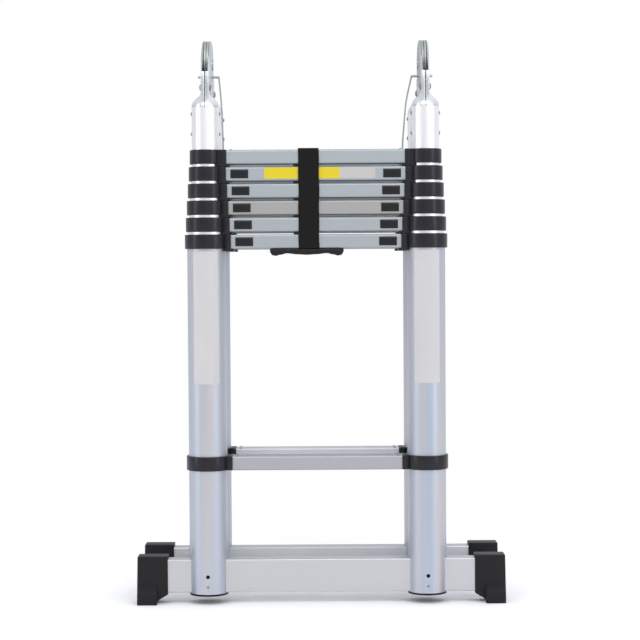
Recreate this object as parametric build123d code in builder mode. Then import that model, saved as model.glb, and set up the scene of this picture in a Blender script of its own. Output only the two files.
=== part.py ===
from build123d import *
import math
import os

# Telescopic A-frame ladder, folded shut and pushed together, standing on its stabiliser bars.
# Millimetres, +Z up, origin on the floor midway between the two sections, front section towards -Y.

# Overall layout
stage_count = 6
stile_spacing = 341.0
section_spacing = 120.0
base_collar_top = 573.9
stack_pitch = 26.2
lower_collar_top = 230.3

# Stile tubes
base_tube_diameter = 60.0
tube_wall = 1.4
tube_slide_gap = 0.3
base_tube_bottom = 16.5
inner_tube_rise = 9.0

# Collars with their rung brackets
collar_ring_height = 22.2
collar_ring_wall = 3.5
collar_lip = 1.5
collar_fit = 0.05
bracket_reach = 8.8
top_bracket_extra = 2.4
bracket_depth = 37.0
bracket_gap = 0.3
bracket_round = 3.0
spigot_length = 4.0
spigot_fit = 0.2

# Rungs
rung_height = 22.2
rung_depth = 32.0
rung_wall = 2.0
rung_round = 3.0
rung_drop = 0.3
tread_groove_width = 2.4
tread_groove_depth = 0.8
tread_groove_count = 4
tread_groove_pitch = 5.5

# Release buttons
button_length = 27.0
button_height = 13.0
button_inset = 7.0
button_proud = 1.2
button_gap = 0.3
button_flange = 2.0
button_corner = 1.5

# Stabiliser bars, feet and end plugs
bar_height = 52.0
bar_depth = 26.0
bar_wall = 2.0
bar_length = 540.0
bar_bottom = 17.0
bar_offset = 5.0
foot_span = 572.0
cap_length = 47.0
cap_wall = 2.5
cap_top_wall = 5.0
pad_length = 30.5
pad_height = 28.5
toe_height = 17.5
pad_reach = 12.0
pad_flare = 1.5
pad_round = 2.0
bevel_rise = 4.5
plug_lip = 3.0
plug_depth = 9.0
plug_fit = 0.1

# Hinges
shoulder_bottom = 770.5
shoulder_height = 20.0
shoulder_fullness = 0.62
shank_length = 50.0
shank_wall = 3.0
shank_fit = 0.05
half_slit = 0.5
neck_width = 12.6
neck_depth = 28.0
neck_sunk = 10.5
neck_height = 46.0
pivot_height = 843.0
upper_touch_angle = math.radians(52)
lower_touch_angle = math.radians(-70)
front_disc_radius = 38.0
rear_disc_radius = 37.2
rear_hub_radius = 16.0
front_plate_inside = 4.6
front_plate = 3.4
rear_plate_inside = 0.5
rear_plate = 3.7
front_plate_round = 2.4
rear_plate_round = 1.0
pivot_diameter = 12.0
pivot_fit = 0.05
pivot_running = 0.1
pivot_head_diameter = 18.0
pivot_head = 1.0
lock_diameter = 4.0
lock_length = 34.0
lock_offset = 2.0
lock_rest_gap = 1.0
lock_travel = 5.0
lock_slot_gap = 0.25
lock_angles = (32.0, 180.0)

# Pull cords on the lock bars: points are (distance inward of the stile axis, height), and each side takes
# its own share of the swing inward
cord_diameter = 2.6
cord_bend_share = 0.45
left_cord_swing = 0.4
right_cord_swing = 1.0
cord_route = [(18, 824), (23, 803), (27.5, 781), (29.5, 755), (31.8, 730), (33, 708), (33.4, 689)]
bead_diameter = 8.0
bead_length = 13.0
bead_round = 2.5

# Strap and carrying grip on the front section
strap_width = 32.0
strap_thickness = 2.2
strap_clearance = 0.5
strap_offset = -11.0
strap_corner = 3.0
grip_length = 114.0
grip_height = 11.0
grip_waist = 3.0
grip_depth = 36.0
grip_offset = -14.5

stile_x = stile_spacing / 2
stile_sides = (-1, 1)
last_stage = stage_count - 1
bar_top = bar_bottom + bar_height
bar_middle = bar_bottom + bar_height / 2
lock_height = pivot_height - rear_hub_radius - lock_diameter / 2 - lock_rest_gap


def tube_radius(stage):
    return base_tube_diameter / 2 - stage * (tube_wall + tube_slide_gap)


def collar_top(stage):
    return base_collar_top + stage * stack_pitch


def tube_top(stage):
    return shoulder_bottom if stage == last_stage else collar_top(stage) - collar_lip


def bracket_end(stage):
    extra = top_bracket_extra if stage == last_stage else 0
    return tube_radius(stage) + bracket_reach + extra


def rung_half_length(stage):
    return stile_x - bracket_end(stage)


def rung_heights(stage):
    """Collar tops of the rungs that a stage carries: the lowest stage has two rungs."""
    return [lower_collar_top, collar_top(stage)] if stage == 0 else [collar_top(stage)]


def cord_points(side):
    """Route of one pull cord, from the lock bar down to its bead."""
    swing = left_cord_swing if side < 0 else right_cord_swing
    tied = cord_route[0][0]
    return [Vector(side * (stile_x - tied - swing * (inward - tied)), 0, height)
            for inward, height in cord_route]


def finish(piece, name):
    piece.label = name
    export_step(piece, f"parts/{name}.step")


def make_tubes(section, axis_y, stage):
    """Pair of stile tubes; the lowest pair is slotted for the stabiliser bar."""
    radius = tube_radius(stage)
    bottom = base_tube_bottom if stage == 0 else bar_top + inner_tube_rise
    with BuildPart() as tubes:
        with BuildSketch(Plane.XY.offset(bottom)):
            with Locations(*[(side * stile_x, axis_y) for side in stile_sides]):
                Circle(radius)
                Circle(radius - tube_wall, mode=Mode.SUBTRACT)
        extrude(amount=tube_top(stage) - bottom)
        if stage == 0:
            with Locations((bar_offset, axis_y, bar_middle)):
                Box(bar_length, bar_depth, bar_height, mode=Mode.SUBTRACT)
    finish(tubes.part, f"{section}_tubes_{stage + 1}")


def make_rungs(section, facing, axis_y, stage):
    """Hollow rung with a grooved tread, and slots in its outer face for the release buttons."""
    half_length = rung_half_length(stage)
    with BuildPart() as rungs:
        for top in rung_heights(stage):
            surface = top - rung_drop
            middle = surface - rung_height / 2
            with BuildSketch(Plane.YZ):
                with Locations((axis_y, middle)):
                    RectangleRounded(rung_depth, rung_height, rung_round)
                    Rectangle(rung_depth - 2 * rung_wall, rung_height - 2 * rung_wall, mode=Mode.SUBTRACT)
                with Locations((axis_y, surface)):
                    with GridLocations(tread_groove_pitch, 0, tread_groove_count, 1):
                        Rectangle(tread_groove_width, 2 * tread_groove_depth, mode=Mode.SUBTRACT)
            extrude(amount=half_length, both=True)
        if stage != last_stage:
            surface = collar_top(stage) - rung_drop
            slot_x = half_length - button_inset - button_length / 2
            face_y = axis_y + facing * (rung_depth / 2 - rung_wall / 2)
            with Locations(*[(side * slot_x, face_y, surface - rung_height / 2) for side in stile_sides]):
                Box(button_length + 2 * button_gap, 2 * rung_wall, button_height + 2 * button_gap,
                    mode=Mode.SUBTRACT)
    finish(rungs.part, f"{section}_rung_{stage + 1}")


def make_collars(section, axis_y, stage):
    """Ring round the tube, bracket towards the rung, and a short spigot inside the rung's end."""
    radius = tube_radius(stage)
    reach = bracket_end(stage)
    with BuildPart() as collars:
        for top in rung_heights(stage):
            bracket_height = collar_ring_height if top == lower_collar_top else stack_pitch - bracket_gap
            with BuildSketch(Plane.XY.offset(top)):
                with Locations((stile_x, axis_y)):
                    Circle(radius + collar_ring_wall)
            extrude(amount=-collar_ring_height)
            with BuildSketch(Plane.XY.offset(top)):
                with Locations((stile_x - reach / 2, axis_y)):
                    RectangleRounded(reach, bracket_depth, bracket_round)
            extrude(amount=-bracket_height)
            with Locations((stile_x - reach - spigot_length / 2, axis_y, top - rung_drop - rung_height / 2)):
                inner_depth = rung_depth - 2 * rung_wall - 2 * spigot_fit
                inner_height = rung_height - 2 * rung_wall - 2 * spigot_fit
                Box(spigot_length, inner_depth, inner_height)
            bore_top = top - collar_lip if top == collar_top(stage) and stage != last_stage else top
            with BuildSketch(Plane.XY.offset(bore_top)):
                with Locations((stile_x, axis_y)):
                    Circle(radius + collar_fit)
            extrude(amount=-bracket_height, mode=Mode.SUBTRACT)
            with BuildSketch(Plane.XY.offset(top)):
                with Locations((stile_x, axis_y)):
                    Circle(radius - tube_wall)
            extrude(amount=-bracket_height, mode=Mode.SUBTRACT)
        mirror(about=Plane.YZ)
    finish(collars.part, f"{section}_collars_{stage + 1}")


def make_buttons(section, facing, axis_y, stage):
    """Pair of release buttons, each kept in the rung by a flange behind the outer wall."""
    middle = collar_top(stage) - rung_drop - rung_height / 2
    button_x = rung_half_length(stage) - button_inset - button_length / 2
    outer_face = axis_y + facing * rung_depth / 2
    flange_front = outer_face - facing * (rung_wall + button_gap)
    cap_depth = button_proud + rung_wall + button_gap
    cap_y = outer_face + facing * (button_proud - cap_depth / 2)
    flange_y = flange_front - facing * button_flange / 2
    flange_length = button_length + 2 * button_flange
    flange_height = button_height + 2 * button_flange
    with BuildPart() as buttons:
        with Locations((button_x, cap_y, middle)):
            cap = Box(button_length, cap_depth, button_height)
        fillet(cap.edges().filter_by(Axis.Y), button_corner)
        with Locations((button_x, flange_y, middle)):
            Box(flange_length, button_flange, flange_height)
        mirror(about=Plane.YZ)
    finish(buttons.part, f"{section}_buttons_{stage + 1}")


def make_stabiliser(section, facing, axis_y):
    """Rectangular bar through the lowest tubes, its rubber feet, and the plugs in the tube ends."""
    with BuildPart() as bar:
        with BuildSketch(Plane.YZ.offset(bar_offset)):
            with Locations((axis_y, bar_middle)):
                Rectangle(bar_depth, bar_height)
                Rectangle(bar_depth - 2 * bar_wall, bar_height - 2 * bar_wall, mode=Mode.SUBTRACT)
        extrude(amount=bar_length / 2, both=True)
    finish(bar.part, f"{section}_stabiliser_bar")

    outer_x = bar_offset + foot_span / 2
    inner_x = outer_x - cap_length
    pad_inner_x = outer_x - pad_length
    cap_half_depth = bar_depth / 2 + cap_wall
    with BuildPart() as feet:
        with BuildSketch(Plane.XZ.offset(-axis_y)):
            with BuildLine():
                Polyline(
                    (inner_x, bar_top + cap_top_wall),
                    (outer_x, bar_top + cap_top_wall),
                    (outer_x + pad_flare, 0),
                    (pad_inner_x, 0),
                    (pad_inner_x, bevel_rise),
                    (inner_x, bar_bottom - cap_wall),
                    close=True,
                )
            make_face()
        extrude(amount=cap_half_depth, both=True)
        cap_face = axis_y + facing * cap_half_depth
        toe_face = cap_face + facing * pad_reach
        with BuildSketch(Plane.YZ.offset(pad_inner_x)):
            with BuildLine():
                Polyline((cap_face, 0), (toe_face, 0), (toe_face, toe_height), (cap_face, pad_height),
                         close=True)
            make_face()
        pad = extrude(amount=pad_length)
        fillet(pad.faces().sort_by(Axis.Y)[0 if facing < 0 else -1].edges(), pad_round)
        with Locations((bar_offset, axis_y, bar_middle)):
            Box(bar_length, bar_depth, bar_height, mode=Mode.SUBTRACT)
        mirror(about=Plane.YZ.offset(bar_offset))
    finish(feet.part, f"{section}_feet")

    plug_radius = base_tube_diameter / 2
    with BuildPart() as plugs:
        with Locations(*[(side * stile_x, axis_y, base_tube_bottom) for side in stile_sides]):
            Cylinder(plug_radius, plug_lip, align=(Align.CENTER, Align.CENTER, Align.MAX))
            Cylinder(plug_radius - tube_wall - plug_fit, plug_depth,
                     align=(Align.CENTER, Align.CENTER, Align.MIN))
        with Locations((bar_offset, axis_y, bar_middle)):
            Box(bar_length, bar_depth + 2 * plug_fit, bar_height, mode=Mode.SUBTRACT)
    finish(plugs.part, f"{section}_tube_plugs")


def make_hinge_arms(section, facing, axis_y):
    """Hinge arm of two pressed halves: shank in the tube, bottle shoulder, neck and pivot plate."""
    top_tube_radius = tube_radius(last_stage)
    is_front = facing < 0
    disc_radius = front_disc_radius if is_front else rear_disc_radius
    plate_inside = front_plate_inside if is_front else rear_plate_inside
    plate = front_plate if is_front else rear_plate
    plate_round = front_plate_round if is_front else rear_plate_round
    hole_radius = pivot_diameter / 2 + (pivot_fit if is_front else pivot_running)
    neck_top = shoulder_bottom + shoulder_height
    neck_bottom = neck_top - neck_sunk
    neck_outer = axis_y + facing * neck_depth / 2
    neck_inner = axis_y - facing * neck_depth / 2
    shank_radius = top_tube_radius - tube_wall - shank_fit
    shoulder_bulge = (neck_width / 2 + shoulder_fullness * (top_tube_radius - neck_width / 2),
                      shoulder_bottom + shoulder_fullness * shoulder_height)
    upper_touch = (facing * disc_radius * math.cos(upper_touch_angle),
                   pivot_height + disc_radius * math.sin(upper_touch_angle))
    lower_touch = (facing * disc_radius * math.cos(lower_touch_angle),
                   pivot_height + disc_radius * math.sin(lower_touch_angle))

    with BuildPart() as pressing:
        with BuildSketch(Plane.YZ.offset(plate_inside)):
            with Locations((0, pivot_height)):
                Circle(disc_radius)
            with BuildLine():
                Polyline(
                    (neck_outer, neck_bottom),
                    (neck_outer, neck_bottom + neck_height),
                    upper_touch,
                    (0, pivot_height),
                    lower_touch,
                    (neck_inner, neck_bottom),
                    close=True,
                )
            make_face()
            with Locations((0, pivot_height)):
                Circle(hole_radius, mode=Mode.SUBTRACT)
            if is_front:
                slot_width = lock_diameter + 2 * lock_slot_gap
                with Locations((0, lock_height - lock_travel / 2)):
                    SlotCenterToCenter(lock_travel, slot_width, rotation=90, mode=Mode.SUBTRACT)
            else:
                for angle in lock_angles:
                    notch_y = -rear_hub_radius * math.sin(math.radians(angle))
                    notch_z = pivot_height - rear_hub_radius * math.cos(math.radians(angle))
                    with Locations((notch_y, notch_z)):
                        Circle(lock_diameter / 2 + lock_slot_gap, mode=Mode.SUBTRACT)
        extrude(amount=plate)
        fillet(pressing.faces().sort_by(Axis.X)[-1].outer_wire().edges(), plate_round)
        if not is_front:
            lock_clear = lock_diameter / 2 + lock_slot_gap
            sweep_radius = pivot_height - lock_height + lock_travel + lock_clear
            with BuildSketch(Plane.YZ.offset(plate_inside)):
                with Locations((0, pivot_height)):
                    Circle(sweep_radius)
                    Circle(rear_hub_radius, mode=Mode.SUBTRACT)
                with Locations((lock_clear, pivot_height)):
                    Rectangle(sweep_radius, 2 * sweep_radius, align=(Align.MIN, Align.CENTER),
                              mode=Mode.SUBTRACT)
            extrude(amount=plate, mode=Mode.SUBTRACT)

    with BuildPart() as arm:
        with BuildSketch(Plane.XY.offset(shoulder_bottom)):
            with Locations((0, axis_y)):
                Circle(shank_radius)
                Circle(shank_radius - shank_wall, mode=Mode.SUBTRACT)
        extrude(amount=-shank_length)
        with BuildSketch(Plane.XZ.offset(-axis_y)):
            with BuildLine():
                ThreePointArc((top_tube_radius, shoulder_bottom), shoulder_bulge, (neck_width / 2, neck_top))
                Polyline((neck_width / 2, neck_top), (0, neck_top), (0, shoulder_bottom),
                         (top_tube_radius, shoulder_bottom))
            make_face()
        revolve(axis=Axis((0, axis_y, 0), (0, 0, 1)))
        with Locations((0, axis_y, neck_bottom)):
            Box(neck_width, neck_depth, neck_height, align=(Align.CENTER, Align.CENTER, Align.MIN))
        add(pressing.part)
        split(bisect_by=Plane.YZ.offset(half_slit / 2), keep=Keep.TOP)
        mirror(about=Plane.YZ)

    with BuildPart() as arms:
        with Locations(*[(side * stile_x, 0, 0) for side in stile_sides]):
            add(arm.part)
    finish(arms.part, f"{section}_hinge_arms")


def make_hinge_fittings():
    """Pivot pins, lock bars, and the pull cords with their beads."""
    plate_outside = front_plate_inside + front_plate
    with BuildPart() as pivots:
        with Locations(*[Location((side * stile_x, 0, pivot_height), (0, 90, 0)) for side in stile_sides]):
            Cylinder(pivot_diameter / 2, 2 * plate_outside)
            with Locations((0, 0, plate_outside + pivot_head / 2), (0, 0, -plate_outside - pivot_head / 2)):
                Cylinder(pivot_head_diameter / 2, pivot_head)
    finish(pivots.part, "hinge_pivots")

    with BuildPart() as locks:
        lock_x = stile_x - lock_offset
        with Locations(*[Location((side * lock_x, 0, lock_height), (0, 90, 0)) for side in stile_sides]):
            Cylinder(lock_diameter / 2, lock_length)
    finish(locks.part, "lock_bars")

    with BuildPart() as cords:
        for side in stile_sides:
            points = cord_points(side)
            runs = [end - start for start, end in zip(points, points[1:])]
            radii = []
            for before, after in zip(runs, runs[1:]):
                half_turn = math.radians(before.get_angle(after)) / 2
                radii.append(cord_bend_share * min(before.length, after.length) / math.tan(half_turn))
            with BuildLine() as route:
                FilletPolyline(*points, radius=radii)
            with BuildSketch(Plane(origin=points[0], z_dir=runs[0])):
                Circle(cord_diameter / 2)
            cord = sweep(path=route.line)
            route_length = sum(edge.length for edge in route.edges())
            expected = math.pi * cord_diameter**2 / 4 * route_length
            print("cord radii", [round(radius, 1) for radius in radii], "length", round(route_length, 1))
            print("cord volume", round(cord.volume, 1), "expected", round(expected, 1))
    finish(cords.part, "lock_cords")

    with BuildPart() as beads:
        with Locations(*[cord_points(side)[-1] for side in stile_sides]):
            bead = Cylinder(bead_diameter / 2, bead_length, align=(Align.CENTER, Align.CENTER, Align.MAX))
        fillet(bead.edges().filter_by(GeomType.CIRCLE), bead_round)
    finish(beads.part, "cord_beads")


def make_strap_and_grip(axis_y):
    """Webbing strap over the top rung, and the moulded grip under the lowest stacked rung."""
    top_surface = collar_top(last_stage) - rung_drop
    lowest_underside = collar_top(0) - rung_drop - rung_height
    inner_depth = rung_depth + 2 * strap_clearance
    strap_bottom = lowest_underside + strap_clearance
    with BuildPart() as strap:
        with BuildSketch(Plane.YZ.offset(strap_offset - strap_width / 2)) as outline:
            with Locations((axis_y, strap_bottom)):
                Rectangle(inner_depth + 2 * strap_thickness, top_surface + strap_thickness - strap_bottom,
                          align=(Align.CENTER, Align.MIN))
            fillet(outline.vertices().group_by(Axis.Y)[-1], strap_corner + strap_thickness)
            with Locations((axis_y, strap_bottom)):
                Rectangle(inner_depth, top_surface - strap_bottom, align=(Align.CENTER, Align.MIN),
                          mode=Mode.SUBTRACT)
        extrude(amount=strap_width)
    finish(strap.part, "strap")

    end_x = grip_length / 2
    shoulder = grip_height / 2
    bottom = lowest_underside - grip_height
    with BuildPart() as grip:
        with BuildSketch(Plane.XZ.offset(-axis_y)):
            with BuildLine():
                Polyline((end_x, lowest_underside - shoulder), (end_x, lowest_underside),
                         (-end_x, lowest_underside), (-end_x, lowest_underside - shoulder))
                RadiusArc((end_x, lowest_underside - shoulder), (end_x - shoulder, bottom), shoulder)
                RadiusArc((-end_x, lowest_underside - shoulder), (shoulder - end_x, bottom), -shoulder)
                ThreePointArc((end_x - shoulder, bottom), (0, bottom + grip_waist), (shoulder - end_x, bottom))
            make_face()
        extrude(amount=grip_depth / 2, both=True)
    with BuildPart() as placed_grip:
        with Locations((grip_offset, 0, 0)):
            add(grip.part)
    finish(placed_grip.part, "grip")


os.makedirs("parts", exist_ok=True)
for section, facing in (("front", -1), ("rear", 1)):
    axis_y = facing * section_spacing / 2
    for stage in range(stage_count):
        make_tubes(section, axis_y, stage)
        make_rungs(section, facing, axis_y, stage)
        make_collars(section, axis_y, stage)
        if stage != last_stage:
            make_buttons(section, facing, axis_y, stage)
    make_stabiliser(section, facing, axis_y)
    make_hinge_arms(section, facing, axis_y)
make_hinge_fittings()
make_strap_and_grip(-section_spacing / 2)
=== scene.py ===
import math

import bmesh
import bpy
from mathutils import Euler, Matrix, Vector
from mathutils.geometry import delaunay_2d_cdt


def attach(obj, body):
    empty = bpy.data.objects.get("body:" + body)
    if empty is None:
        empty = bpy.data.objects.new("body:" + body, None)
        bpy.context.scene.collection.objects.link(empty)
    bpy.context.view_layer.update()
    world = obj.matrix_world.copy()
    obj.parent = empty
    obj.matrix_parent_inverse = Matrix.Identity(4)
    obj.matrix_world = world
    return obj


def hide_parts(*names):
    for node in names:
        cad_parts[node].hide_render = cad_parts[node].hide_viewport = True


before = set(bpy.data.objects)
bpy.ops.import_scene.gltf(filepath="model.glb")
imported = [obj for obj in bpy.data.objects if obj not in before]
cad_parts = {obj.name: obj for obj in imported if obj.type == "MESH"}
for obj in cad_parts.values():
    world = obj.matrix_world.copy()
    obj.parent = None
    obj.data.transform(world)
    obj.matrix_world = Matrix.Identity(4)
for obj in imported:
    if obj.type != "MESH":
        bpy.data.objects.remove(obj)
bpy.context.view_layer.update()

scene = bpy.context.scene


# Studio. A white paper floor that fades into a white surround, a tall lamp at each side and a broad one in
# front and above, and a long lens looking almost straight at the front of the folded ladder.
def new_material(name):
    """A procedural material: its node lists, its shader, and the object coordinates."""
    material = bpy.data.materials.new(name)
    material.use_nodes = True
    nodes, links = material.node_tree.nodes, material.node_tree.links
    coordinates = nodes.new("ShaderNodeTexCoord").outputs["Object"]
    return material, nodes, links, nodes["Principled BSDF"], coordinates


def ranged_value(nodes, links, value, low, high, start=0.3, end=0.7):
    """The value mapped from start..end to low..high."""
    ranged = nodes.new("ShaderNodeMapRange")
    ranged.inputs["From Min"].default_value = start
    ranged.inputs["From Max"].default_value = end
    ranged.inputs["To Min"].default_value = low
    ranged.inputs["To Max"].default_value = high
    links.new(value, ranged.inputs["Value"])
    return ranged.outputs["Result"]


floor_half, fade_start, fade_end = 9, 0.25, 0.95
paper, nodes, links, shader, coordinates = new_material("studio_paper")
shader.inputs["Base Color"].default_value = (0.95, 0.95, 0.95, 1)
shader.inputs["Roughness"].default_value = 0.9
shader.inputs["Specular IOR Level"].default_value = 0.0
distance = nodes.new("ShaderNodeVectorMath")
distance.operation = "LENGTH"
links.new(coordinates, distance.inputs[0])
glow = nodes.new("ShaderNodeEmission")
glow.inputs["Color"].default_value = (1, 1, 1, 1)
glow.inputs["Strength"].default_value = 1.0
fade = nodes.new("ShaderNodeMixShader")
whiter = ranged_value(nodes, links, distance.outputs["Value"], 0, 1, fade_start, fade_end)
links.new(whiter, fade.inputs["Fac"])
links.new(shader.outputs["BSDF"], fade.inputs[1])
links.new(glow.outputs["Emission"], fade.inputs[2])
links.new(fade.outputs["Shader"], nodes["Material Output"].inputs["Surface"])
floor_mesh = bpy.data.meshes.new("floor")
floor_corners = [(x * floor_half, y * floor_half, 0) for x, y in ((-1, -1), (1, -1), (1, 1), (-1, 1))]
floor_mesh.from_pydata(floor_corners, [], [(0, 1, 2, 3)])
floor_mesh.materials.append(paper)
floor = bpy.data.objects.new("floor", floor_mesh)
scene.collection.objects.link(floor)

world = bpy.data.worlds.new("studio")
scene.world = world
world.use_nodes = True
nodes, links = world.node_tree.nodes, world.node_tree.links
surround = nodes["Background"]
surround.inputs["Color"].default_value = (0.93, 0.94, 1.0, 1)
direction = nodes.new("ShaderNodeSeparateXYZ")
links.new(nodes.new("ShaderNodeTexCoord").outputs["Generated"], direction.inputs["Vector"])
strengths = []
for part, axis, low, high, start, end in (
    ("front", "Y", 0.27, 0.0, -1.0, -0.1),
    ("back", "Y", 0.0, 0.30, 0.0, 1.0),
    ("left_to_right", "X", 0.17, 0.33, -1.0, 1.0),
    ("right_wall", "X", 0.0, 0.14, 0.35, 1.0),
    ("left_wall", "X", 0.14, 0.0, -1.0, -0.35),
    ("dark_strip_begins", "X", 0.0, -0.30, -0.6, -0.3),
    ("dark_strip_ends", "X", 0.0, 0.30, -0.15, 0.1),
    ("ceiling", "Z", 0.25, 0.95, 0.0, 1.0),
):
    strengths.append(ranged_value(nodes, links, direction.outputs[axis], low, high, start, end))
    strengths[-1].node.label = part
total = strengths[0]
for strength in strengths[1:]:
    add = nodes.new("ShaderNodeMath")
    links.new(total, add.inputs[0])
    links.new(strength, add.inputs[1])
    total = add.outputs["Value"]
links.new(total, surround.inputs["Strength"])
backdrop = nodes.new("ShaderNodeBackground")
backdrop.inputs["Color"].default_value = (1, 1, 1, 1)
backdrop.inputs["Strength"].default_value = 1.0
seen = nodes.new("ShaderNodeLightPath")
choose = nodes.new("ShaderNodeMixShader")
links.new(seen.outputs["Is Camera Ray"], choose.inputs["Fac"])
links.new(surround.outputs["Background"], choose.inputs[1])
links.new(backdrop.outputs["Background"], choose.inputs[2])
links.new(choose.outputs["Shader"], nodes["World Output"].inputs["Surface"])

lamp_target = Vector((0, 0, 0.45))
for name, place, width, height, power in (
    ("lamp_left", (-2.5, -1.2, 1.1), 0.6, 2.4, 11.0),
    ("lamp_right", (2.1, -1.7, 1.1), 0.5, 2.4, 10.0),
    ("lamp_top", (0.0, -2.0, 2.3), 2.4, 1.2, 23.0),
):
    lamp = bpy.data.lights.new(name, "AREA")
    lamp.shape = "RECTANGLE"
    lamp.size = width
    lamp.size_y = height
    lamp.energy = power
    holder = bpy.data.objects.new(name, lamp)
    holder.location = place
    holder.rotation_euler = (lamp_target - Vector(place)).to_track_quat("-Z", "Y").to_euler()
    scene.collection.objects.link(holder)

pitch_down, roll = 1.766, -0.356
lens = bpy.data.cameras.new("camera")
lens.sensor_width = 36
lens.lens = 100.97
camera = bpy.data.objects.new("camera", lens)
camera.location = (0.00525, -2.8537, 0.5264)
tilt = Euler((math.radians(90 - pitch_down), 0, 0)).to_matrix() @ Matrix.Rotation(math.radians(roll), 3, "Z")
camera.rotation_euler = tilt.to_euler()
scene.collection.objects.link(camera)
scene.camera = camera
scene.view_settings.view_transform = "Standard"


# Stabiliser bars. Extruded rectangular aluminium bars, 52 by 26 mm with a 2 mm wall and small corner radii,
# satin anodised with fine extrusion lines, pushed through the lowest tubes and screwed there.
def add_piece(name, mesh, material, body, slot, *replaced):
    """Hangs a finished mesh on its body, with its material and the CAD nodes it stands for; the slot is not
    used.
    """
    mesh.materials.clear()
    mesh.materials.append(material)
    piece = bpy.data.objects.new(name, mesh)
    scene.collection.objects.link(piece)
    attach(piece, body)
    if replaced:
        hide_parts(*replaced)
    return piece


def mesh_of(bm, name, sharp=35):
    """Turns a bmesh into a mesh, smooth except across edges sharper than the given angle."""
    bmesh.ops.recalc_face_normals(bm, faces=bm.faces)
    mesh = bpy.data.meshes.new(name)
    bm.to_mesh(mesh)
    bm.free()
    mesh.shade_smooth()
    mesh.set_sharp_from_angle(angle=math.radians(sharp))
    return mesh


def join_rings(bm, rings):
    """Skins a row of rings, each a closed loop with the same number of points."""
    for ring, following in zip(rings, rings[1:]):
        for i in range(len(ring)):
            j = (i + 1) % len(ring)
            bm.faces.new((ring[i], following[i], following[j], ring[j]))


def rounded_loop(half_y, half_z, radius, steps):
    """Points (y, z) round a rectangle with rounded corners."""
    points = []
    for quarter, (sy, sz) in enumerate(((1, 1), (-1, 1), (-1, -1), (1, -1))):
        for step in range(steps + 1):
            angle = math.pi / 2 * (quarter + step / steps)
            points.append((sy * (half_y - radius) + radius * math.cos(angle),
                           sz * (half_z - radius) + radius * math.sin(angle)))
    return points


def noise_value(nodes, links, coordinates, scale, detail):
    """Noise stretched by a scale for each axis."""
    stretch = nodes.new("ShaderNodeMapping")
    stretch.inputs["Scale"].default_value = scale
    links.new(coordinates, stretch.inputs["Vector"])
    noise = nodes.new("ShaderNodeTexNoise")
    noise.inputs["Scale"].default_value = 1.0
    noise.inputs["Detail"].default_value = detail
    links.new(stretch.outputs["Vector"], noise.inputs["Vector"])
    return noise.outputs["Fac"]


def relief(nodes, links, shader, value, strength, distance):
    """Bumps on a shader from a value."""
    bump = nodes.new("ShaderNodeBump")
    bump.inputs["Strength"].default_value = strength
    bump.inputs["Distance"].default_value = distance
    links.new(value, bump.inputs["Height"])
    links.new(bump.outputs["Normal"], shader.inputs["Normal"])


def two_tones(nodes, links, value, first, second, socket):
    """Mixes two colours by a value into a socket."""
    mix = nodes.new("ShaderNodeMix")
    mix.data_type = "RGBA"
    mix.inputs["A"].default_value = (*first, 1)
    mix.inputs["B"].default_value = (*second, 1)
    links.new(value, mix.inputs["Factor"])
    links.new(mix.outputs["Result"], socket)


def drawn_metal(name, colour, metallic, rough_low, rough_high, grain, marks, other=None, broad=None):
    """Aluminium or steel with fine marks along the working direction, and a second tone in broad streaks."""
    material, nodes, links, shader, coordinates = new_material(name)
    shader.inputs["Metallic"].default_value = metallic
    shader.inputs["Base Color"].default_value = (*colour, 1)
    if other:
        patches = ranged_value(nodes, links, noise_value(nodes, links, coordinates, broad, 1), 0, 1)
        two_tones(nodes, links, patches, colour, other, shader.inputs["Base Color"])
    streaks = noise_value(nodes, links, coordinates, grain, 3)
    links.new(ranged_value(nodes, links, streaks, rough_low, rough_high), shader.inputs["Roughness"])
    relief(nodes, links, shader, streaks, marks, 0.0002)
    return material


def banded_metal(name, low_colour, high_colour, start, end, rough_low, rough_high, grain):
    """Drawn aluminium whose tone changes between two heights."""
    material = drawn_metal(name, low_colour, 0.9, rough_low, rough_high, grain, 0.05)
    nodes, links = material.node_tree.nodes, material.node_tree.links
    height = nodes.new("ShaderNodeSeparateXYZ")
    links.new(nodes["Texture Coordinate"].outputs["Object"], height.inputs["Vector"])
    upper = ranged_value(nodes, links, height.outputs["Z"], 0, 1, start, end)
    two_tones(nodes, links, upper, low_colour, high_colour, nodes["Principled BSDF"].inputs["Base Color"])
    return material


sections = (("front", -1), ("rear", 1))
section_y, bar_offset = 0.06, 0.005
bar_half_length, bar_half_depth, bar_half_height, bar_middle, bar_wall = 0.270, 0.013, 0.026, 0.043, 0.002
bar_round, bar_inner_round, bar_steps = 0.0022, 0.0008, 4
# Painted shade: each bar's second, darker tone covers only its top face, above the first of these two
# heights.
bar_painted_shade_start, bar_painted_shade_end, bar_grain = 0.0675, 0.0688, (5, 900, 900)
# The rear bar's colour is painted light: it is set lighter than the front bar's to stand in for light on its
# face, which the front bar shades.
bar_tones_with_painted_light = {"front": ((0.585, 0.59, 0.60), (0.52, 0.53, 0.535)),
             "rear": ((0.74, 0.75, 0.76), (0.50, 0.51, 0.52))}
for section, facing in sections:
    bar_satin = banded_metal(f"{section}_bar_satin", *bar_tones_with_painted_light[section], bar_painted_shade_start, bar_painted_shade_end,
                             0.42, 0.52, bar_grain)
    bm = bmesh.new()
    outer = rounded_loop(bar_half_depth, bar_half_height, bar_round, bar_steps)
    inner = rounded_loop(bar_half_depth - bar_wall, bar_half_height - bar_wall, bar_inner_round, bar_steps)
    rings = [[bm.verts.new((bar_offset + x, facing * section_y + y, bar_middle + z)) for y, z in loop]
             for x, loop in ((-bar_half_length, outer), (bar_half_length, outer),
                             (bar_half_length, inner), (-bar_half_length, inner))]
    join_rings(bm, rings + rings[:1])
    add_piece(f"{section}_bar", mesh_of(bm, "bar"), bar_satin, f"{section}_stage_1", "bar_aluminium",
              f"{section}_stabiliser_bar")


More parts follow.
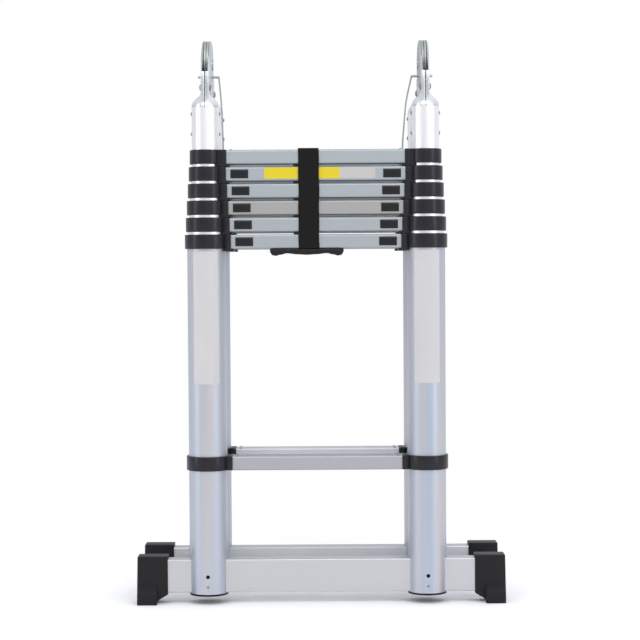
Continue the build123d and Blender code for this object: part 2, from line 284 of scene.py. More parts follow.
# Feet. Black rubber caps pushed over the bar ends, sloped underneath towards the middle, with a ground pad at
# the outer end and a wedge-shaped toe that stands out from the ladder. All edges are rounded.
def moulding(name, colour, rough_low, rough_high, grain, gloss):
    """Black moulded plastic or rubber with a fine spark-eroded grain."""
    material, nodes, links, shader, coordinates = new_material(name)
    shader.inputs["Base Color"].default_value = (*colour, 1)
    shader.inputs["Specular IOR Level"].default_value = gloss
    texture = noise_value(nodes, links, coordinates, (grain, grain, grain), 2)
    links.new(ranged_value(nodes, links, texture, rough_low, rough_high), shader.inputs["Roughness"])
    relief(nodes, links, shader, texture, 0.06, 0.0002)
    return material


def round_edges(bm, verts, radius, segments=3):
    """Rounds all edges that meet the given points."""
    edges = {edge for vert in verts for edge in vert.link_edges}
    bmesh.ops.bevel(bm, geom=list(edges), offset=radius, segments=segments, profile=0.5, affect="EDGES",
                    clamp_overlap=True)


def add_block(bm, low, high, radius, segments=3):
    """Adds a box between two corners with all edges rounded."""
    verts = bmesh.ops.create_cube(bm, size=1)["verts"]
    middle, size = (Vector(low) + Vector(high)) / 2, Vector(high) - Vector(low)
    for vert in verts:
        vert.co = middle + Vector(a * abs(b) for a, b in zip(vert.co, size))
    if radius:
        round_edges(bm, verts, radius, segments)


def add_prism(bm, outline, direction, radius, segments=3):
    """Adds a prism over a closed outline of points, with all edges rounded."""
    start = [bm.verts.new(point) for point in outline]
    end = [bm.verts.new(Vector(point) + direction) for point in outline]
    bm.faces.new(start)
    bm.faces.new(end[::-1])
    for i in range(len(start)):
        j = (i + 1) % len(start)
        bm.faces.new((start[i], end[i], end[j], start[j]))
    bmesh.ops.recalc_face_normals(bm, faces=bm.faces)
    if radius:
        round_edges(bm, start + end, radius, segments)


def cut_out(mesh, name, cutter_mesh):
    """The mesh with the cutter's shape taken out of it."""
    cutter = bpy.data.objects.new("cutter", cutter_mesh)
    blank = bpy.data.objects.new("blank", mesh)
    for made in (cutter, blank):
        scene.collection.objects.link(made)
    boolean = blank.modifiers.new("cut", "BOOLEAN")
    boolean.object = cutter
    boolean.operation = "DIFFERENCE"
    boolean.solver = "EXACT"
    result = bpy.data.meshes.new_from_object(blank.evaluated_get(bpy.context.evaluated_depsgraph_get()))
    result.name = name
    for made in (cutter, blank):
        bpy.data.objects.remove(made)
    return result


foot_rubber = moulding("foot_rubber", (0.0145, 0.0145, 0.016), 0.40, 0.50, 1400, 0.16)
foot_outline = [(0.239, 0.074), (0.286, 0.074), (0.2875, 0), (0.2555, 0), (0.2555, 0.0045), (0.239, 0.0145)]
toe_outline = [(-0.002, 0), (0.012, 0), (0.012, 0.0175), (0, 0.0285), (-0.002, 0.0285)]
foot_half_depth, foot_round, toe_start, toe_length = 0.0155, 0.0014, 0.2555, 0.0305
for section, facing in sections:
    for side, word in ((-1, "left"), (1, "right")):
        y = facing * section_y
        bm = bmesh.new()
        outline = [(bar_offset + side * x, y - foot_half_depth, z) for x, z in foot_outline]
        add_prism(bm, outline, Vector((0, 2 * foot_half_depth, 0)), foot_round)
        blank = mesh_of(bm, "foot")
        bm = bmesh.new()
        add_block(bm, (bar_offset - bar_half_length, y - bar_half_depth, bar_middle - bar_half_height),
                  (bar_offset + bar_half_length, y + bar_half_depth, bar_middle + bar_half_height), 0)
        cap = cut_out(blank, "foot", mesh_of(bm, "cutter"))
        bm = bmesh.new()
        bm.from_mesh(cap)
        edge_y = y + facing * foot_half_depth
        outline = [(bar_offset + side * toe_start, edge_y + facing * out, z) for out, z in toe_outline]
        add_prism(bm, outline, Vector((side * toe_length, 0, 0)), foot_round)
        add_piece(f"{section}_{word}_foot", mesh_of(bm, "foot"), foot_rubber, f"{section}_stage_1",
                  "foot_rubber", f"{section}_feet")


# Stile tubes. Drawn aluminium tubes, six nested in each stile, satin anodised with fine draw marks along
# their length; the inner ones are polished brighter. Black plastic plugs close the lower ends.
stages = range(1, 7)
stile_x, base_radius, radius_step, tube_wall = 0.1705, 0.030, 0.0017, 0.0014


def stage_radius(stage):
    """Outer radius of a stage's tubes."""
    return base_radius - (stage - 1) * radius_step


def paint(node, material):
    """Puts a material on a CAD node that stays showing."""
    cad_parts[node].material_slots[0].material = material


draw_marks = (900, 900, 5)
tube_satin = drawn_metal("tube_satin", (0.55, 0.535, 0.555), 0.75, 0.38, 0.46, draw_marks, 0.05,
                         (0.43, 0.49, 0.59), (55, 55, 1.2))
tube_bright = drawn_metal("tube_bright", (0.95, 0.95, 0.96), 1.0, 0.32, 0.40, draw_marks, 0.03)
for section, facing in sections:
    for stage in stages:
        paint(f"{section}_tubes_{stage}", tube_satin if stage == 1 else tube_bright)
    paint(f"{section}_tube_plugs", foot_rubber)


# Rungs. Extruded aluminium box rungs with a grooved tread on top, matt anodised: blue-grey in the stack, with
# a greyer third one, and plain on the fixed lower rung. Rubber bumpers under the rungs keep the stack apart.
stack_pitch, base_collar_top, rung_drop, rung_height = 0.0262, 0.5739, 0.0003, 0.0222
stack_colour, third_colour, rung_grain = (0.40, 0.435, 0.458), (0.385, 0.385, 0.378), (6, 800, 800)
# The rear lower rung's colour is painted light: lighter than the front one to stand in for light on its face,
# which the front rung shades.
lower_rung_tone_with_rear_painted_light = {"front": (0.435, 0.445, 0.465), "rear": (0.62, 0.625, 0.645)}
above_lower_rung, below_stack = 0.3, 0.5
bumper_start, bumper_end, bumper_half_depth, bumper_height = -0.035, -0.019, 0.0145, 0.0034
bumper_sunk, bumper_round = 0.0003, 0.0008
bumper_rubber = moulding("bumper_rubber", (0.012, 0.012, 0.013), 0.60, 0.70, 1400, 0.3)
for section, facing in sections:
    for stage in stages:
        rung_matt = banded_metal(f"{section}_rung_matt_{stage}", lower_rung_tone_with_rear_painted_light[section],
                                 third_colour if stage == 3 else stack_colour, above_lower_rung, below_stack,
                                 0.48, 0.58, rung_grain)
        paint(f"{section}_rung_{stage}", rung_matt)
        if stage == 1:
            continue
        underside = base_collar_top + (stage - 1) * stack_pitch - rung_drop - rung_height
        y = facing * section_y
        bm = bmesh.new()
        add_block(bm, (bumper_start, y - bumper_half_depth, underside - bumper_height),
                  (bumper_end, y + bumper_half_depth, underside + bumper_sunk), bumper_round)
        add_piece(f"{section}_bumper_{stage}", mesh_of(bm, "bumper"), bumper_rubber,
                  f"{section}_stage_{stage}", "foot_rubber")


# Collars. Black nylon mouldings pressed over the top of each tube: a ring round the tube, a bracket that
# carries the rung's end and a spigot inside the rung. In the stack the bracket is as tall as the pitch, and
# a lug stands below the rung's end.
def add_turned(bm, profile, x, y, segments):
    """Adds a ring turned about a vertical axis from a closed (radius, height) profile."""
    rings = []
    for step in range(segments):
        angle = 2 * math.pi * step / segments
        c, s = math.cos(angle), math.sin(angle)
        rings.append([bm.verts.new((x + r * c, y + r * s, z)) for r, z in profile])
    join_rings(bm, rings + rings[:1])


def rounded_profile(corners, radius, steps=4):
    """(radius, height) corners of a turned profile, with every corner rounded off."""
    points = []
    for i, corner in enumerate(corners):
        here = Vector(corner)
        back = (Vector(corners[i - 1]) - here).normalized()
        ahead = (Vector(corners[(i + 1) % len(corners)]) - here).normalized()
        centre = here + (back + ahead) * radius
        for step in range(steps + 1):
            swing = math.pi / 2 * step / steps
            points.append(tuple(centre - ahead * radius * math.cos(swing) - back * radius * math.sin(swing)))
    return points


def rung_reach(stage):
    """Distance from a stile's axis to the rung's end."""
    return stage_radius(stage) + (top_bracket_length if stage == 6 else bracket_length)


sides = (-1, 1)
bracket_length, top_bracket_length, ring_segments, web_steps = 0.0088, 0.0112, 96, 16
collar_nylon = moulding("collar_nylon", (0.0095, 0.0085, 0.0135), 0.24, 0.34, 1200, 0.36)
lower_collar_top, ring_height, ring_wall, ring_fit, ring_round = 0.2303, 0.0222, 0.0035, 0.00005, 0.0011
collar_lip, trim_width, web_gap, web_half_depth, web_short = 0.0015, 0.0012, 0.0012, 0.0160, 0.003
bracket_height, post_near, post_far, post_width, post_round = 0.0259, 0.004, 0.0185, 0.0085, 0.0012
spigot_back, spigot_length, spigot_half_depth, spigot_half_height = 0.001, 0.004, 0.0138, 0.0089
lug_back, lug_length, lug_half_depth, lug_gap, lug_round = 0.002, 0.0045, 0.0150, 0.0003, 0.0005
for section, facing in sections:
    for stage in stages:
        y = facing * section_y
        tube_radius, end = stage_radius(stage), stile_x - rung_reach(stage)
        top = base_collar_top + (stage - 1) * stack_pitch
        bm = bmesh.new()
        for height in ((lower_collar_top, top) if stage == 1 else (top,)):
            outer, bore = tube_radius + ring_wall, tube_radius + ring_fit
            profile = rounded_profile([(bore, height - ring_height), (outer, height - ring_height),
                                       (outer, height), (bore, height)], ring_round)
            if stage < 6 and height == top:
                profile = [point for point in profile if point[0] > bore + trim_width]
                profile = [(bore, height - collar_lip), (bore, height - ring_height)] + profile
                profile += [(tube_radius - tube_wall, height), (tube_radius - tube_wall, height - collar_lip)]
            tall = bracket_height if height == top else ring_height
            rise = Vector((0, 0, tall))
            middle = height - rung_drop - rung_height / 2
            inside = tube_radius + web_gap
            swing = math.asin(web_half_depth / inside)
            web = [(stile_x - inside * math.cos(a), y + inside * math.sin(a))
                   for a in (swing - 2 * swing * i / web_steps for i in range(web_steps + 1))]
            web += [(end + web_short, y + way * web_half_depth) for way in (-1, 1)]
            post_x = stile_x - max(inside, rung_reach(stage) - post_width)
            for side in sides:
                add_turned(bm, profile, side * stile_x, y, ring_segments)
                add_prism(bm, [(side * x, across, height - tall) for x, across in web], rise, 0)
                for way in sides:
                    near, far = y + way * post_near, y + way * post_far
                    post = [(side * x, across, height - tall)
                            for x, across in ((post_x, near), (post_x, far), (end, far), (end, near))]
                    add_prism(bm, post, rise, post_round, 4)
                spigot_low, spigot_high = middle - spigot_half_height, middle + spigot_half_height
                add_block(bm, (side * (end + spigot_back), y - spigot_half_depth, spigot_low),
                          (side * (end - spigot_length), y + spigot_half_depth, spigot_high), 0)
                if height == top:
                    lug_top = height - rung_drop - rung_height - lug_gap
                    add_block(bm, (side * (end + lug_back), y - lug_half_depth, height - bracket_height),
                              (side * (end - lug_length), y + lug_half_depth, lug_top), lug_round, 2)
        add_piece(f"{section}_collar_set_{stage}", mesh_of(bm, "collars"), collar_nylon,
                  f"{section}_stage_{stage}", "collar_plastic", f"{section}_collars_{stage}")


# Release buttons. Two black thumb buttons in the outer face of each stacked rung but the top one, dished caps
# with a retaining flange behind the rung wall; pressing them frees the tube above.
button_nylon = moulding("button_nylon", (0.005, 0.005, 0.007), 0.30, 0.40, 1200, 0.36)
rung_face, button_gap, button_length, button_depth, button_height = 0.076, 0.007, 0.027, 0.0035, 0.013
button_sunk, dish_rim, dish_depth, button_round, flange_round = 0.00055, 0.0022, 0.0007, 0.0005, 0.0004
flange_half_length, flange_half_height, flange_front, flange_back = 0.0155, 0.0085, 0.0023, 0.0043
for section, facing in sections:
    for stage in range(1, 6):
        middle_x = stile_x - rung_reach(stage) - button_gap - button_length / 2
        middle_z = base_collar_top + (stage - 1) * stack_pitch - rung_drop - rung_height / 2
        face_y = facing * rung_face
        bm = bmesh.new()
        for side in sides:
            x = side * middle_x
            verts = bmesh.ops.create_cube(bm, size=1)["verts"]
            for vert in verts:
                vert.co = (x + button_length * vert.co.x,
                           face_y + facing * (button_depth * vert.co.y - button_sunk),
                           middle_z + button_height * vert.co.z)
            bm.normal_update()
            cap = [face for face in bm.faces if verts[0] in face.verts or verts[-1] in face.verts]
            front = max(cap, key=lambda face: facing * face.calc_center_median().y)
            bmesh.ops.inset_individual(bm, faces=[front], thickness=dish_rim, depth=-dish_depth)
            round_edges(bm, verts + list(front.verts), button_round, 2)
            flange_low, flange_high = middle_z - flange_half_height, middle_z + flange_half_height
            add_block(bm, (x - flange_half_length, face_y - facing * flange_front, flange_low),
                      (x + flange_half_length, face_y - facing * flange_back, flange_high), flange_round, 2)
        add_piece(f"{section}_thumb_buttons_{stage}", mesh_of(bm, "buttons"), button_nylon,
                  f"{section}_release_{stage}", "button_plastic", f"{section}_buttons_{stage}")


# Hinge arms. Zinc-plated pressed steel in two halves with a slit between them: a bottle shoulder on the top
# tube, a square neck, and dished discs that the pivot pin joins. The front discs lie outside the rear ones.
pivot_z, disc_radius, plate_inside, plate_outside, neck_half = 0.843, 0.038, 0.0046, 0.0080, 0.0063
neck_low, neck_high, neck_near, neck_far, slit, tuck = 0.780, 0.826, -0.046, -0.074, 0.0005, 0.0006
disc_start, disc_sweep, disc_steps, edge_step, grid_step, grid_clear = 52, 238, 72, 0.002, 0.003, 0.008
dish_width, rim_share, swell_start, swell_width, neck_swell = 0.009, 0.22, 0.054, 0.018, 0.0002
slot_radius, slot_high, slot_low, slot_start, slot_length = 0.00225, 0.824, 0.819, -0.25, 0.5
edge_insets, inset_clear = (0.0004, 0.0010, 0.0020, 0.0034, 0.0052, 0.0074), 0.9
grid_columns, grid_rows, shoulder_steps, slot_steps, same_point, merge_gap = 40, 46, 32, 32, 1e-6, 1e-7
neck_round, bright_zinc, tone_blend = 0.0011, (0.69, 0.71, 0.72), 0.0015


def zinc_plate(name, disc_colour, disc_reach, rough_low, rough_high):
    """Bright zinc, with a darker tone on the discs round the pivot."""
    material, nodes, links, shader, coordinates = new_material(name)
    shader.inputs["Metallic"].default_value = 1.0
    from_pivot = nodes.new("ShaderNodeVectorMath")
    from_pivot.operation = "MULTIPLY_ADD"
    from_pivot.inputs[1].default_value = (0, 1, 1)
    from_pivot.inputs[2].default_value = (0, 0, -pivot_z)
    links.new(coordinates, from_pivot.inputs[0])
    radius = nodes.new("ShaderNodeVectorMath")
    radius.operation = "LENGTH"
    links.new(from_pivot.outputs["Vector"], radius.inputs[0])
    outside = ranged_value(nodes, links, radius.outputs["Value"], 0, 1, disc_reach - tone_blend,
                           disc_reach + tone_blend)
    two_tones(nodes, links, outside, disc_colour, bright_zinc, shader.inputs["Base Color"])
    spangle = noise_value(nodes, links, coordinates, (60, 60, 30), 2)
    links.new(ranged_value(nodes, links, spangle, rough_low, rough_high), shader.inputs["Roughness"])
    return material


def edge_distance(point, outline):
    """Shortest distance from a point to a closed outline."""
    gaps = []
    for start, end in zip(outline, outline[1:] + outline[:1]):
        run = end - start
        share = max(0.0, min(1.0, (point - start).dot(run) / run.length_squared))
        gaps.append((point - start - run * share).length)
    return min(gaps)


corners = [Vector((neck_near, neck_low)), Vector((neck_far + tuck, neck_low)),
           Vector((neck_far + tuck, neck_high))]
disc = [Vector((-disc_radius * math.cos(a), pivot_z + disc_radius * math.sin(a)))
        for a in (math.radians(disc_start + disc_sweep * i / disc_steps) for i in range(disc_steps + 1))]
outline = list(disc)
for start, end in zip([disc[-1]] + corners, corners + [disc[0]]):
    count = max(2, round((end - start).length / edge_step))
    outline += [start.lerp(end, i / count) for i in range(1, count + (end != disc[0]))]
if (outline[-1] - outline[0]).length < same_point:
    outline.pop()
inner_points = []
for i, point in enumerate(outline):
    run = outline[(i + 1) % len(outline)] - outline[i - 1]
    inward = Vector((-run.y, run.x)).normalized()
    for inset in edge_insets:
        for way in (inward, -inward):
            inner_points.append((point + way * inset, inset_clear * inset))
for i in range(grid_columns):
    for j in range(grid_rows):
        inner_points.append((Vector((neck_far + grid_step * i, neck_low + grid_step * j)), grid_clear))
kept = []
for point, clear in inner_points:
    crossings = 0
    for start, end in zip(outline, outline[1:] + outline[:1]):
        if (start.y > point.y) != (end.y > point.y):
            crossings += start.x + (point.y - start.y) * (end.x - start.x) / (end.y - start.y) > point.x
    if crossings % 2 and edge_distance(point, outline) >= clear:
        kept.append(point)
flat_mesh = delaunay_2d_cdt(outline + kept, [], [list(range(len(outline)))], 1, 1e-5)
flat, triangles = flat_mesh[0], flat_mesh[2]
heights = []
for point in flat:
    gap = min(edge_distance(point, outline) / dish_width, 1.0)
    near = max(0.0, min(1.0, (swell_start - (point - Vector((0, pivot_z))).length) / swell_width))
    outside = neck_half + neck_swell + (plate_outside - neck_half - neck_swell) * near * near * (3 - 2 * near)
    heights.append(plate_inside + (outside - plate_inside) * max(rim_share, math.sqrt(1 - (1 - gap) ** 2)))
bm = bmesh.new()
for side in sides:
    for half in sides:
        outer = [bm.verts.new((side * stile_x + half * x, p.x, p.y)) for p, x in zip(flat, heights)]
        inner = [bm.verts.new((side * stile_x + half * plate_inside, p.x, p.y)) for p in flat]
        rim = {}
        for triangle in triangles:
            bm.faces.new([outer[i] for i in triangle])
            bm.faces.new([inner[i] for i in reversed(triangle)])
            for i, j in zip(triangle, triangle[1:] + triangle[:1]):
                rim[frozenset((i, j))] = rim.get(frozenset((i, j)), 0) + 1
        for pair, count in rim.items():
            if count == 1:
                i, j = pair
                bm.faces.new((outer[i], outer[j], inner[j], inner[i]))
plates = mesh_of(bm, "plates", 50)
bm = bmesh.new()
slot_outline = [(slot_start, slot_radius * math.cos(a),
                 (slot_high if a < math.pi else slot_low) + slot_radius * math.sin(a))
                for a in (2 * math.pi * i / slot_steps for i in range(slot_steps))]
add_prism(bm, slot_outline, Vector((slot_length, 0, 0)), 0)
plates = cut_out(plates, "plates", mesh_of(bm, "cutter"))
bm = bmesh.new()
bm.from_mesh(plates)
shoulder = [(0.0215, 0.7705), (0.0213, 0.7732), (0.0205, 0.7760), (0.0190, 0.7792), (0.0167, 0.7823),
            (0.0138, 0.7848), (0.0110, 0.7870), (0.0091, 0.7891), (0.0078, 0.7915), (0.0070, 0.7945),
            (0.0066, 0.7980), (0.0, 0.7980)]
for side in sides:
    for half in sides:
        axis_x = side * stile_x
        rows = [[bm.verts.new((axis_x + half * max(slit, r * math.cos(a)), -section_y + r * math.sin(a), z))
                 for a in (math.pi * (i / shoulder_steps - 0.5) for i in range(shoulder_steps + 1))]
                for r, z in shoulder]
        for row, above in zip(rows, rows[1:]):
            for i in range(shoulder_steps):
                bm.faces.new((row[i], row[i + 1], above[i + 1], above[i]))
        add_block(bm, (axis_x + half * slit, neck_far, neck_low),
                  (axis_x + half * neck_half, neck_near, neck_high), neck_round)
bmesh.ops.remove_doubles(bm, verts=bm.verts, dist=merge_gap)
front_zinc = zinc_plate("front_hinge_zinc", (0.50, 0.53, 0.52), 0.0460, 0.24, 0.34)
add_piece("front_hinge_set", mesh_of(bm, "hinges", 50), front_zinc, "front_stage_6", "hinge_steel",
          "front_hinge_arms")
# Painted shade: the rear discs sit recessed between the front plates, and their darker tone stands in for the
# shade there.
paint("rear_hinge_arms", zinc_plate("rear_hinge_zinc", (0.44, 0.46, 0.45), 0.0387, 0.50, 0.60))


# Pivot pins and lock bars. Turned steel pins with flat heads join the discs of each hinge, and plain steel
# bars slide in the front discs' slots and lock into the notches of the rear ones.
pin_steel = drawn_metal("pin_steel", (0.42, 0.43, 0.43), 1.0, 0.30, 0.42, (500, 500, 500), 0.04)
for name in ("hinge_pivots", "lock_bars"):
    paint(name, pin_steel)


# Pull cords. Thin grey-green braided cords, one tied to the inner end of each lock bar, that hang down past
# the hinge and end in a moulded barrel bead behind the top rungs. The left one hangs straighter.
braid, nodes, links, shader, coordinates = new_material("pull_cord")
shader.inputs["Base Color"].default_value = (0.36, 0.40, 0.39, 1)
shader.inputs["Roughness"].default_value = 0.75
weave = nodes.new("ShaderNodeTexWave")
weave.bands_direction = "DIAGONAL"
weave.inputs["Scale"].default_value = 420
links.new(coordinates, weave.inputs["Vector"])
relief(nodes, links, shader, weave.outputs["Fac"], 0.5, 0.0003)


def plain_plastic(name, colour, roughness):
    """Smooth plastic or vinyl of one colour."""
    material = new_material(name)[0]
    shader = material.node_tree.nodes["Principled BSDF"]
    shader.inputs["Base Color"].default_value = (*colour, 1)
    shader.inputs["Roughness"].default_value = roughness
    return material


bead_plastic = plain_plastic("cord_bead", (0.02, 0.02, 0.022), 0.42)
cord_diameter, tie_inward, bead_segments = 0.0026, 0.018, 32
cord_points = [(tie_inward, 0.824), (0.023, 0.803), (0.0275, 0.781), (0.0295, 0.755), (0.0318, 0.730),
               (0.033, 0.708), (0.0334, 0.689)]
bead_profile = [(0.0003, 0), (0.0024, 0), (0.0036, -0.0013), (0.0040, -0.0040), (0.0040, -0.0090),
                (0.0036, -0.0117), (0.0024, -0.0130), (0.0003, -0.0130)]
for side, word, swing, length in ((-1, "left", 0.4, 0.135), (1, "right", 1.0, 0.136)):
    route = [(side * (stile_x - tie_inward - swing * (inward - tie_inward)), 0, height)
             for inward, height in cord_points]
    curve = bpy.data.curves.new(f"{word}_pull_cord", "CURVE")
    curve.dimensions = "3D"
    curve.bevel_depth = cord_diameter / 2
    curve.bevel_resolution = 4
    curve.use_fill_caps = True
    spline = curve.splines.new("NURBS")
    spline.points.add(len(route) - 1)
    for point, place in zip(spline.points, route):
        point.co = (*place, 1)
    spline.order_u = 3
    spline.use_endpoint_u = True
    spline.resolution_u = 12
    curve.materials.append(braid)
    cord = bpy.data.objects.new(f"{word}_pull_cord", curve)
    scene.collection.objects.link(cord)
    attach(cord, "hinge_locks")
    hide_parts("lock_cords")
    bm = bmesh.new()
    end_x, end_y, end_z = route[-1]
    add_turned(bm, [(r, end_z + z) for r, z in bead_profile], end_x, end_y, bead_segments)
    bead = add_piece(f"{word}_cord_bead", mesh_of(bm, "bead", 60), bead_plastic, "hinge_locks", "cord",
                     "cord_beads")


# Rivets and screws. Domed steel rivets hold the rungs to the brackets, the hinge shanks in the top tubes and
# the two halves of each hinge arm together; a small screw sits below a drilled hole in each lowest tube, the
# hole drawn as a flat black disc of painted shade.
def rivet_tree(segments):
    """Node tree that sets one domed head on every point, along the point's outward vector."""
    tree = bpy.data.node_groups.new("rivet_heads", "GeometryNodeTree")
    tree.interface.new_socket("Geometry", in_out="INPUT", socket_type="NodeSocketGeometry")
    for name in ("Diameter", "Height"):
        tree.interface.new_socket(name, in_out="INPUT", socket_type="NodeSocketFloat")
    tree.interface.new_socket("Material", in_out="INPUT", socket_type="NodeSocketMaterial")
    tree.interface.new_socket("Geometry", in_out="OUTPUT", socket_type="NodeSocketGeometry")
    nodes, links = tree.nodes, tree.links
    given, made = nodes.new("NodeGroupInput"), nodes.new("NodeGroupOutput")
    ball = nodes.new("GeometryNodeMeshUVSphere")
    ball.inputs["Segments"].default_value = segments
    ball.inputs["Rings"].default_value = segments // 2
    ball.inputs["Radius"].default_value = 0.5
    double = nodes.new("ShaderNodeMath")
    double.operation = "MULTIPLY"
    double.inputs[1].default_value = 2.0
    links.new(given.outputs["Height"], double.inputs[0])
    size = nodes.new("ShaderNodeCombineXYZ")
    links.new(given.outputs["Diameter"], size.inputs["X"])
    links.new(given.outputs["Diameter"], size.inputs["Y"])
    links.new(double.outputs["Value"], size.inputs["Z"])
    head = nodes.new("GeometryNodeTransform")
    links.new(ball.outputs["Mesh"], head.inputs["Geometry"])
    links.new(size.outputs["Vector"], head.inputs["Scale"])
    outward = nodes.new("GeometryNodeInputNamedAttribute")
    outward.data_type = "FLOAT_VECTOR"
    outward.inputs["Name"].default_value = "outward"
    turn = nodes.new("FunctionNodeAlignRotationToVector")
    turn.axis = "Z"
    links.new(outward.outputs["Attribute"], turn.inputs["Vector"])
    place = nodes.new("GeometryNodeInstanceOnPoints")
    links.new(given.outputs["Geometry"], place.inputs["Points"])
    links.new(head.outputs["Geometry"], place.inputs["Instance"])
    links.new(turn.outputs["Rotation"], place.inputs["Rotation"])
    real = nodes.new("GeometryNodeRealizeInstances")
    links.new(place.outputs["Instances"], real.inputs["Geometry"])
    smooth = nodes.new("GeometryNodeSetShadeSmooth")
    links.new(real.outputs["Geometry"], smooth.inputs["Geometry"])
    coat = nodes.new("GeometryNodeSetMaterial")
    links.new(smooth.outputs["Geometry"], coat.inputs["Geometry"])
    links.new(given.outputs["Material"], coat.inputs["Material"])
    links.new(coat.outputs["Geometry"], made.inputs["Geometry"])
    return tree


def add_rivets(name, places, diameter, height, material, body, slot):
    """Domed heads at (point, outward vector) places, as one mesh on one body."""
    points = bpy.data.meshes.new(name)
    points.from_pydata([point for point, outward in places], [], [])
    vectors = points.attributes.new("outward", "FLOAT_VECTOR", "POINT")
    for item, (point, outward) in zip(vectors.data, places):
        item.vector = outward
    carrier = bpy.data.objects.new(name, points)
    scene.collection.objects.link(carrier)
    modifier = carrier.modifiers.new("heads", "NODES")
    modifier.node_group = rivets
    sockets = {item.name: item.identifier for item in rivets.interface.items_tree if item.in_out == "INPUT"}
    modifier[sockets["Diameter"]] = diameter
    modifier[sockets["Height"]] = height
    modifier[sockets["Material"]] = material
    made = bpy.data.meshes.new_from_object(carrier.evaluated_get(bpy.context.evaluated_depsgraph_get()))
    bpy.data.objects.remove(carrier)
    return add_piece(name, made, material, body, slot)


rivets = rivet_tree(20)
rivet_steel = drawn_metal("rivet_steel", (0.26, 0.265, 0.27), 1.0, 0.38, 0.48, (300, 300, 300), 0.0)
painted_hole_shade = moulding("painted_hole_shade", (0.004, 0.004, 0.004), 0.8, 0.9, 800, 0.1)
rung_rivet, shank_rivet, neck_rivet = (0.0046, 0.0009), (0.0062, 0.0016), (0.0115, 0.0030)
hole_spot, screw_head = (0.0060, 0.00035), (0.0042, 0.0006)
rivet_inset, rivet_across, shank_levels, neck_level = 0.007, 0.0125, (0.730, 0.761), 0.802
hole_level, screw_level = 0.044, 0.028
for section, facing in sections:
    y = facing * section_y
    for stage in stages:
        stacked = base_collar_top + (stage - 1) * stack_pitch
        tops = (lower_collar_top, stacked) if stage == 1 else (stacked,)
        rivet_x = stile_x - rung_reach(stage) - rivet_inset
        places = [((side * rivet_x, y + across, top - rung_drop), (0, 0, 1))
                  for top in tops for side in sides for across in (-rivet_across, rivet_across)]
        add_rivets(f"{section}_rung_rivets_{stage}", places, *rung_rivet, rivet_steel,
                   f"{section}_stage_{stage}", "pin_steel")
    places = [((side * stile_x + way * stage_radius(6), y, level), (way, 0, 0))
              for side in sides for way in sides for level in shank_levels]
    add_rivets(f"{section}_shank_rivets", places, *shank_rivet, rivet_steel, f"{section}_stage_6",
               "pin_steel")
    places = [((side * stile_x + way * neck_half, y, neck_level), (way, 0, 0))
              for side in sides for way in sides]
    add_rivets(f"{section}_neck_rivets", places, *neck_rivet, rivet_steel, f"{section}_stage_6", "pin_steel")
    # Painted shade: each drilled hole is a flat black disc standing in for the dark inside of the hole.
    places = [((side * stile_x, y + facing * base_radius, hole_level), (0, facing, 0)) for side in sides]
    add_rivets(f"{section}_tube_holes", places, *hole_spot, painted_hole_shade, f"{section}_stage_1", "foot_rubber")
    places = [((side * stile_x, y + facing * base_radius, screw_level), (0, facing, 0)) for side in sides]
    add_rivets(f"{section}_tube_screws", places, *screw_head, rivet_steel, f"{section}_stage_1", "pin_steel")


# Strap. Black hook-and-loop webbing, 32 mm wide, hung over the front section's top rung and down both faces
# of its stack.
webbing, nodes, links, shader, coordinates = new_material("strap_webbing")
shader.inputs["Base Color"].default_value = (0.006, 0.006, 0.006, 1)
shader.inputs["Roughness"].default_value = 0.92
shader.inputs["Specular IOR Level"].default_value = 0.25
ribs = nodes.new("ShaderNodeTexWave")
ribs.bands_direction = "Z"
ribs.inputs["Scale"].default_value = 300
ribs.inputs["Distortion"].default_value = 1.5
links.new(coordinates, ribs.inputs["Vector"])
relief(nodes, links, shader, ribs.outputs["Fac"], 0.35, 0.0003)
strap_half, strap_thickness, strap_round, strap_x = 0.016, 0.0022, 0.0009, -0.011
strap_low, strap_high, strap_out, fold = 0.5519, 0.7057, 0.0176, 0.0041
face_steps, fold_steps, strap_wander = 60, 8, ((0.0003, 130), (0.0002, 61))
path = [(strap_out, strap_low + (strap_high - fold - strap_low) * i / face_steps)
        for i in range(face_steps + 1)]
path += [(strap_out - fold + fold * math.cos(a), strap_high - fold + fold * math.sin(a))
         for a in (math.pi / 2 * i / fold_steps for i in range(1, fold_steps + 1))]
path += [(across * (strap_out - fold), strap_high) for across in (0.5, 0)]
path += [(-across, height) for across, height in path[-2::-1]]
bm = bmesh.new()
rings = []
for i, (across, height) in enumerate(path):
    before, after = Vector(path[max(i - 1, 0)]), Vector(path[min(i + 1, len(path) - 1)])
    run = (after - before).normalized()
    out = Vector((run.y, -run.x))
    middle_x = strap_x + sum(size * math.sin(height * rate) for size, rate in strap_wander)
    rings.append([bm.verts.new((middle_x + wide, -section_y - across - out.x * thick, height + out.y * thick))
                  for wide, thick in rounded_loop(strap_half, strap_thickness / 2, strap_round, 3)])
join_rings(bm, rings)
bm.faces.new(rings[0])
bm.faces.new(rings[-1])
strap = add_piece("strap_band", mesh_of(bm, "strap", 60), webbing, "front_stage_6", "strap_webbing", "strap")


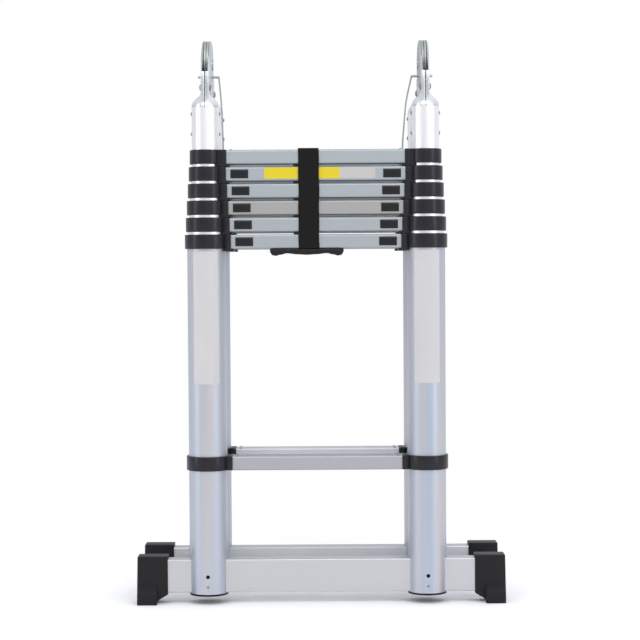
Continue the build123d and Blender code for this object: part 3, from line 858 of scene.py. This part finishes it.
# Grip. Black nylon carrying grip under the front section's lowest stacked rung, thick towards its ends and
# wavy along its lower edge for the fingers, rounded all over.
grip_nylon = moulding("grip_nylon", (0.006, 0.006, 0.008), 0.40, 0.50, 1200, 0.28)
grip_x, grip_half, grip_top, grip_half_depth, grip_round = -0.0145, 0.057, 0.5514, 0.018, 0.0028
end_taper, taper_start, grip_steps = 0.004, 0.92, 40
waves = [(0.0, 0.0096), (0.25, 0.0088), (0.55, 0.0072), (0.72, 0.0092), (0.86, 0.0110), (0.95, 0.0098),
         (1.0, 0.0050)]
bm = bmesh.new()
rings = []
for step in range(2 * grip_steps + 1):
    along = step / grip_steps - 1
    share = abs(along)
    for (a, low), (b, high) in zip(waves, waves[1:]):
        if a <= share <= b:
            ease = (1 - math.cos(math.pi * (share - a) / (b - a))) / 2
            thickness = low + (high - low) * ease
            break
    corner = min(grip_round, thickness / 2 - 0.0002)
    narrow = grip_half_depth - end_taper * max(0, share - taper_start) / (1 - taper_start)
    x, middle = grip_x + along * grip_half, grip_top - thickness / 2
    rings.append([bm.verts.new((x, wide - section_y, middle + tall))
                  for wide, tall in rounded_loop(narrow, thickness / 2, corner, 5)])
join_rings(bm, rings)
bm.faces.new(rings[0])
bm.faces.new(rings[-1])
add_piece("carrying_grip", mesh_of(bm, "grip", 50), grip_nylon, "front_stage_1", "grip_plastic", "grip")


# Stickers. Blank self-adhesive vinyl labels: a tall off-white one on each of the front section's lowest
# tubes, and a yellow one with a pale grey one beside it on the face of its fifth rung.
white_vinyl = plain_plastic("white_vinyl", (0.90, 0.89, 0.89), 0.5)
grey_vinyl = plain_plastic("grey_vinyl", (0.46, 0.44, 0.43), 0.5)
yellow_vinyl = plain_plastic("yellow_vinyl", (0.63, 0.50, 0.003), 0.5)
label_radius, label_low, label_high, label_reach, label_steps = 0.03012, 0.343, 0.548, math.radians(40), 24
label_thickness = 0.00008
rung_label_low, rung_label_high, rung_label_back, rung_label_front = 0.6596, 0.6770, -0.07598, -0.07613
for side, word in ((-1, "left"), (1, "right")):
    bm = bmesh.new()
    low_row, high_row = [[bm.verts.new((side * stile_x + label_radius * math.sin(a),
                                        -section_y - label_radius * math.cos(a), height))
                          for a in (label_reach * (2 * i / label_steps - 1) for i in range(label_steps + 1))]
                         for height in (label_low, label_high)]
    for i in range(label_steps):
        bm.faces.new((low_row[i], low_row[i + 1], high_row[i + 1], high_row[i]))
    bmesh.ops.solidify(bm, geom=bm.faces[:], thickness=label_thickness)
    add_piece(f"{word}_tube_label", mesh_of(bm, "label"), white_vinyl, "front_stage_1", "tube_aluminium")
rung_labels = (("yellow", -0.0795, 0.037, yellow_vinyl), ("grey", 0.037, 0.092, grey_vinyl))
for word, start, end, material in rung_labels:
    bm = bmesh.new()
    add_block(bm, (start, rung_label_back, rung_label_low), (end, rung_label_front, rung_label_high), 0)
    add_piece(f"{word}_rung_label", mesh_of(bm, "label"), material, "front_stage_5", "rung_aluminium")
